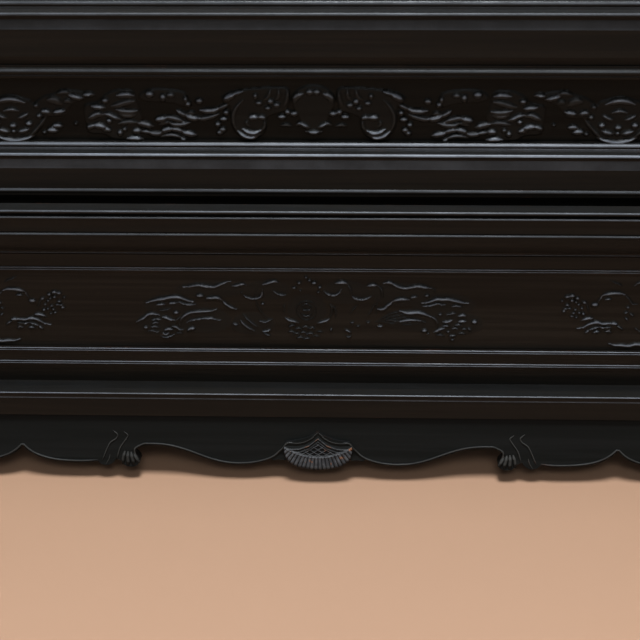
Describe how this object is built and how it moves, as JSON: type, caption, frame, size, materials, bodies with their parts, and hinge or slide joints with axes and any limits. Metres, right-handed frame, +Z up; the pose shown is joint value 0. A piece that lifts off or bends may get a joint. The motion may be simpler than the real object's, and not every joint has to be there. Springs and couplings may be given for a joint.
{
  "type": "porcelain panel screen",
  "caption": "Dark carved hardwood insert screen: a footed stand with scalloped aprons and grooved posts, holding a framed porcelain panel that lifts out.",
  "frame": {"origin": "on the floor, in the middle of the stand", "axes": "+X along the screen, -Y is the front with the carved faces, +Z up"},
  "size_m": [0.72, 0.3, 1.035],
  "materials": {
    "lacquered_wood": "semi-gloss near-black lacquer over hardwood, dusty on its upper faces",
    "dusty_apron": "worn matt black lacquer with dust and reddish wear on the edges",
    "carved_wood": "carved and lacquered, brighter on the raised lines",
    "raw_wood": "oiled plain back boards",
    "porcelain": "white glaze with a blue underglaze pattern"
  },
  "bodies": {
    "stand": {"left_foot": "lacquered_wood", "right_foot": "lacquered_wood", "left_post": "lacquered_wood", "right_post": "lacquered_wood", "left_post_cap": "lacquered_wood", "right_post_cap": "lacquered_wood", "left_front_spandrel": "lacquered_wood", "left_back_spandrel": "lacquered_wood", "right_front_spandrel": "lacquered_wood", "right_back_spandrel": "lacquered_wood", "lower_rail": "lacquered_wood", "front_apron": "dusty_apron", "back_apron": "dusty_apron", "waist_bottom_rail": "lacquered_wood", "waist_top_rail": "lacquered_wood", "front_waist_panel": "carved_wood", "back_waist_panel": "carved_wood", "left_waist_stile": "lacquered_wood", "right_waist_stile": "lacquered_wood", "sill_rail": "lacquered_wood", "stand_pegs": "lacquered_wood"},
    "screen": {"left_stile": "lacquered_wood", "right_stile": "lacquered_wood", "bottom_rail": "lacquered_wood", "middle_rail": "lacquered_wood", "top_rail": "lacquered_wood", "frieze_panel": "carved_wood", "frieze_slip_bottom": "lacquered_wood", "frieze_slip_top": "lacquered_wood", "frieze_slip_left": "lacquered_wood", "frieze_slip_right": "lacquered_wood", "frieze_back_fillets": "lacquered_wood", "porcelain_panel": "porcelain", "porcelain_slip_bottom": "lacquered_wood", "porcelain_slip_top": "lacquered_wood", "porcelain_slip_left": "lacquered_wood", "porcelain_slip_right": "lacquered_wood", "back_board": "raw_wood", "lower_batten": "raw_wood", "middle_batten": "raw_wood", "upper_batten": "raw_wood", "back_fillet_left": "lacquered_wood", "back_fillet_right": "lacquered_wood", "back_fillet_top": "lacquered_wood", "back_fillet_bottom": "lacquered_wood", "frame_pegs": "lacquered_wood"}
  },
  "joints": [
    {"name": "screen_lift", "type": "slide", "parent": "stand", "child": "screen", "axis": [0, 0, 1], "range_m": [0, 0.28]}
  ]
}
